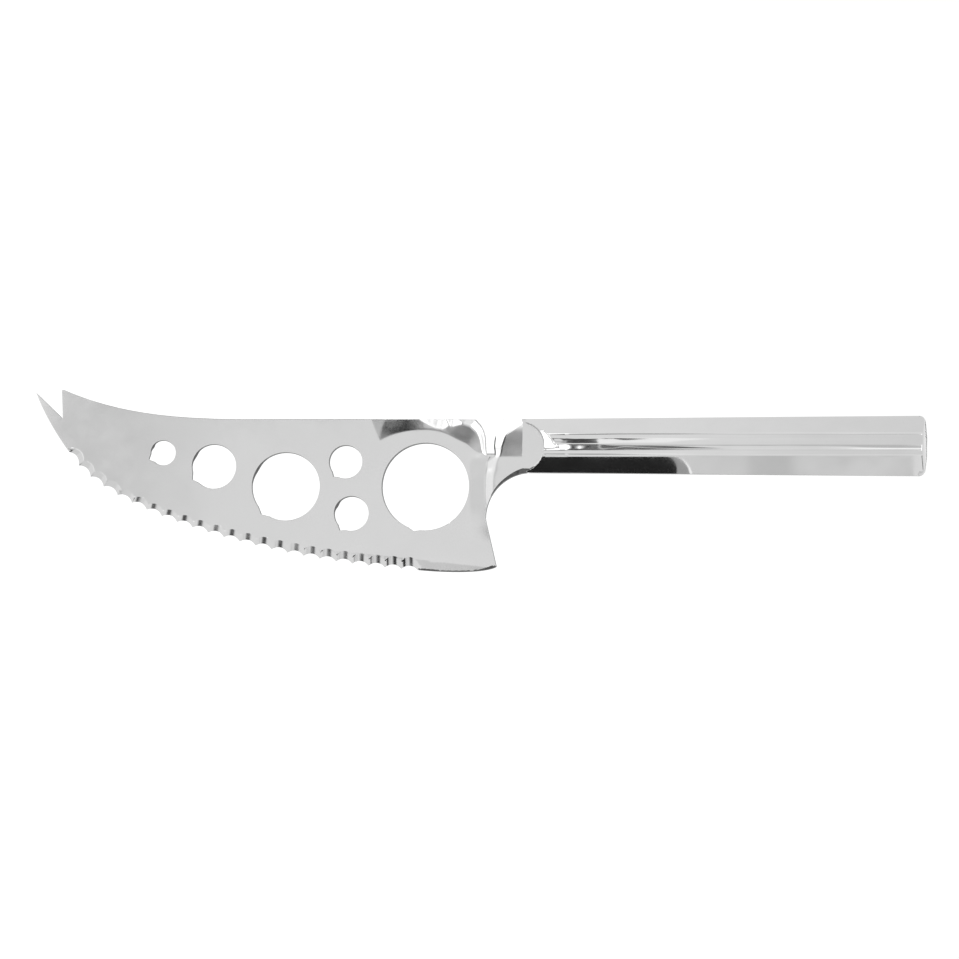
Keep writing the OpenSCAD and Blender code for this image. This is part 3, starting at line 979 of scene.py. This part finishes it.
def plate_object(name, corners, mat, camera=False):
    me = bpy.data.meshes.new(name)
    me.from_pydata([Vector(c) for c in corners], [], [tuple(range(len(corners)))])
    me.materials.append(mat)
    ob = bpy.data.objects.new(name, me)
    scene.collection.objects.link(ob)
    if not camera:
        ob.visible_camera = False
        ob.visible_diffuse = False
        ob.visible_shadow = False
    return ob


def glow(name, attribute=None, value=1.0):
    """Emission only, from an attribute of the mesh or one value."""
    m = bpy.data.materials.new(name)
    m.use_nodes = True
    t = m.node_tree
    t.nodes.clear()
    out = t.nodes.new("ShaderNodeOutputMaterial")
    em = t.nodes.new("ShaderNodeEmission")
    em.inputs["Strength"].default_value = value
    if attribute:
        at = t.nodes.new("ShaderNodeAttribute")
        at.attribute_type = "GEOMETRY"
        at.attribute_name = attribute
        t.links.new(at.outputs["Fac"], em.inputs["Strength"])
    t.links.new(em.outputs["Emission"], out.inputs["Surface"])
    return m


def panel(name, xs, ys, place, value):
    """A sheet of light: a grid whose brightness is a smooth function of place."""
    gx, gy = np.meshgrid(xs, ys)
    v = value(gx, gy)
    co = [place(a, b) for a, b in zip(gx.ravel(), gy.ravel())]
    n, m = gx.shape[1], gx.shape[0]
    faces = [(j * n + i, j * n + i + 1, (j + 1) * n + i + 1, (j + 1) * n + i)
             for j in range(m - 1) for i in range(n - 1)]
    me = bpy.data.meshes.new(name)
    me.from_pydata(co, [], faces)
    at = me.attributes.new("light", "FLOAT", "POINT")
    at.data.foreach_set("value", v.ravel().astype(np.float32))
    me.materials.append(glow(name + "_light", "light"))
    ob = bpy.data.objects.new(name, me)
    scene.collection.objects.link(ob)
    ob.visible_camera = False
    ob.visible_shadow = False
    return ob




def block(x, y, x0, x1, y0, y1, soft):
    """1 inside a box with soft sides."""
    return (smooth(x0 - soft / 2, x0 + soft / 2, x) * smooth(x1 + soft / 2, x1 - soft / 2, x)
            * smooth(y0 - soft / 2, y0 + soft / 2, y) * smooth(y1 + soft / 2, y1 - soft / 2, y))


floor_x = np.concatenate([[-6, -2, -0.5], np.arange(-0.13, 0.14, 0.005), [0.5, 2, 6]])
floor = panel("floor", floor_x, np.array([-6.0, -1.0, 0.0, 1.0, 6.0]),
              lambda a, b: (a, b, -0.0002), lambda x, y: 1.13 - 0.10 * smooth(0.02, 0.10, x))
floor.visible_camera = True


def cloud2(x, y, size, seed):
    r = np.array([noise.noise(Vector((a / size, b / size, seed))) for a, b in zip(x.ravel(), y.ravel())])
    return r.reshape(x.shape)


# boxes on the ceiling, in millimetres: x0, x1, y0, y1, softness, brightness, mottling
CEILING = [
    (-142, -135, -30, 70, 4, 0.95, 0.01),
    (-215, -150, -90, -32, 6, 2.60, 0.0),
    (-200, -147, -30, 78, 12, 0.91, 0.05),
    (-105, -30, -135, -85, 14, 0.86, 0.02),
    (-400, -60, 172, 370, 10, 2.4, 0.0),
    (-400, -188, 120, 180, 10, 2.4, 0.0),
    (-300, -184, -40, 120, 16, 1.36, 0.25),
    (-152, -62, 76, 100, 10, 0.45, 0.10),
    (-154, -64, 92, 166, 8, 0.05, 0.05),
    (-60, -28, 72, 118, 8, 0.38, 0.80),
    (-44, -6, 67, 92, 6, 0.76, 0.30),
    (-66, -50, 102, 132, 6, 0.35, 0.10),
    (-30, -14, 118, 445, 5, 0.20, 0.20),
    (-11, 4, 172, 385, 5, 0.20, 0.05),
    (-26, -12, 84, 156, 5, 0.16, 0.25),
    (-2, 12, 96, 142, 8, 0.60, 0.30),
    (-14, 0, 116, 152, 6, 0.24, 0.15),
    (12, 36, 90, 158, 8, 0.78, 0.30),
    (36, 56, 82, 168, 8, 0.80, 0.15),
    (-76, -31, 124, 230, 4, 2.3, 0.0),
    (-70, -32, 220, 440, 5, 2.3, 0.0),
    (38, 82, 310, 450, 8, 1.42, 0.0),
    (78, 230, 100, 400, 8, 2.4, 0.0),
    (230, 420, 100, 400, 20, 1.36, 0.05),
    (96, 340, 66, 104, 10, 1.40, 0.0),
    (52, 72, 90, 330, 6, 0.78, 0.06),
    (-34, -12, -360, -90, 4, 0.12, 0.08),
    (-11, 6, -300, -30, 4, 1.35, 0.0),
]


def ceiling(x, y):
    v = 1.12 - 0.12 * smooth(2, 62, x) + 0.03 * cloud2(x, y, 22.0, 2.0) + 0.035 * cloud2(x, y * 1.7, 6.0, 9.0)
    m = cloud2(x, y, 7.0, 5.0)
    for x0, x1, y0, y1, soft, val, mot in CEILING:
        w = block(x, y, x0, x1, y0, y1, soft)
        v = v * (1 - w) + (val + mot * m) * w
    return np.clip(v, 0, None)


ceiling_x = np.concatenate([np.arange(-690, -330, 15), np.arange(-330, 260, 2.5), np.arange(260, 990, 15)])
ceiling_y = np.concatenate([np.arange(-400, 520, 2.5), np.arange(520, 700, 10)])
panel("ceiling_panel", ceiling_x, ceiling_y,
      lambda a, b: (a * 0.001, b * 0.001, 0.4), ceiling)

black = flat_material("flag_black", 0.02)
crescent = flat_material("flag_crescent", 0.02, emit=0.46)
bright_line = flat_material("flag_bright", 0.02, emit=1.45)


def flag(name, outline2d, origin, u, v, mat):
    """A flat flag: its outline in metres along u and v from origin."""
    o, u, v = Vector(origin), Vector(u), Vector(v)
    return plate_object(name, [o + u * a + v * b for a, b in outline2d], mat)


def tab(x0, x1, z1, r):
    """A sheet standing on the floor with one rounded upper corner."""
    q = [(x0, 0.0002), (x1, 0.0002)]
    for a in np.linspace(0, math.pi / 2, 12):
        q.append((x1 - r + r * math.cos(a), z1 - r + r * math.sin(a)))
    return q + [(x0, z1)]


FLAG_Y = -0.5
NEAR_Y = -0.1
flag("flag_low", tab(0.0, 0.0414, 0.0241, 0.0042), (0, NEAR_Y, 0), (1, 0, 0), (0, 0, 1), black)
flag("flag_rim", tab(0.0, 0.0450, 0.02425, 0.0065), (0, NEAR_Y - 0.0004, 0), (1, 0, 0), (0, 0, 1), crescent)
flag("flag_line", tab(0.0, 0.0457, 0.02440, 0.0070), (0, NEAR_Y - 0.0008, 0), (1, 0, 0), (0, 0, 1), bright_line)
flag("flag_right", [(0.082, 0.066), (0.42, 0.066), (0.42, 0.14), (0.082, 0.14)],
     (0, FLAG_Y, 0), (1, 0, 0), (0, 0, 1), black)


def far_flag(x, z):
    w = smooth(-430, -260, x) * smooth(-50, -165, x) * smooth(66, 54, z)
    return 1.01 * (1 - w) + 0.03 * w


panel("far_flag", np.concatenate([np.arange(-900, -560, 20), np.arange(-560, -39, 8)]), np.concatenate([np.arange(0.2, 90, 3.0), np.arange(92, 320, 12.0)]),
      lambda a, b: (a * 0.001, FLAG_Y, b * 0.001), far_flag)


panel("right_panel", np.arange(66, 430, 12.0), np.arange(0.2, 63, 6.0),
      lambda a, b: (a * 0.001, FLAG_Y - 0.004, b * 0.001), lambda x, z: 0.85 + 0.02 * cloud2(x, z, 40.0, 6.0))


def back_wall(x, z):
    v = 0.95 + 0.09 * cloud2(x, z * 1.6, 14.0, 1.0) + 0.07 * cloud2(x, z, 4.0, 4.0)
    w = block(x, z, 14, 27, 60, 90, 5)
    return v * (1 - w) + 0.80 * w


panel("wall_panel", np.arange(-12, 62, 1.0), np.arange(0.2, 140, 2.0),
      lambda a, b: (a * 0.001, FLAG_Y - 0.002, b * 0.001), back_wall)

# ---------------------------------------------------------------------------
# Camera
# ---------------------------------------------------------------------------
YAW, PITCH, DIST = math.radians(7), math.radians(6), 10.0
c = Vector((math.tan(YAW), -math.tan(PITCH), 1)).normalized()
up = Vector((0, c.z, -c.y)).normalized()
right = up.cross(c)
target = Vector((0.0001, 0.0002, 0.0055))
cam_data = bpy.data.cameras.new("camera")
cam = bpy.data.objects.new("camera", cam_data)
scene.collection.objects.link(cam)
rot = Matrix((right, up, c)).transposed()
cam.matrix_world = Matrix.Translation(target + c * DIST) @ rot.to_4x4()
cam_data.sensor_width = 36.0
cam_data.lens = 36.0 * DIST / (959 * 0.26773e-3)
cam_data.clip_start = 0.05
cam_data.clip_end = 30
scene.camera = cam
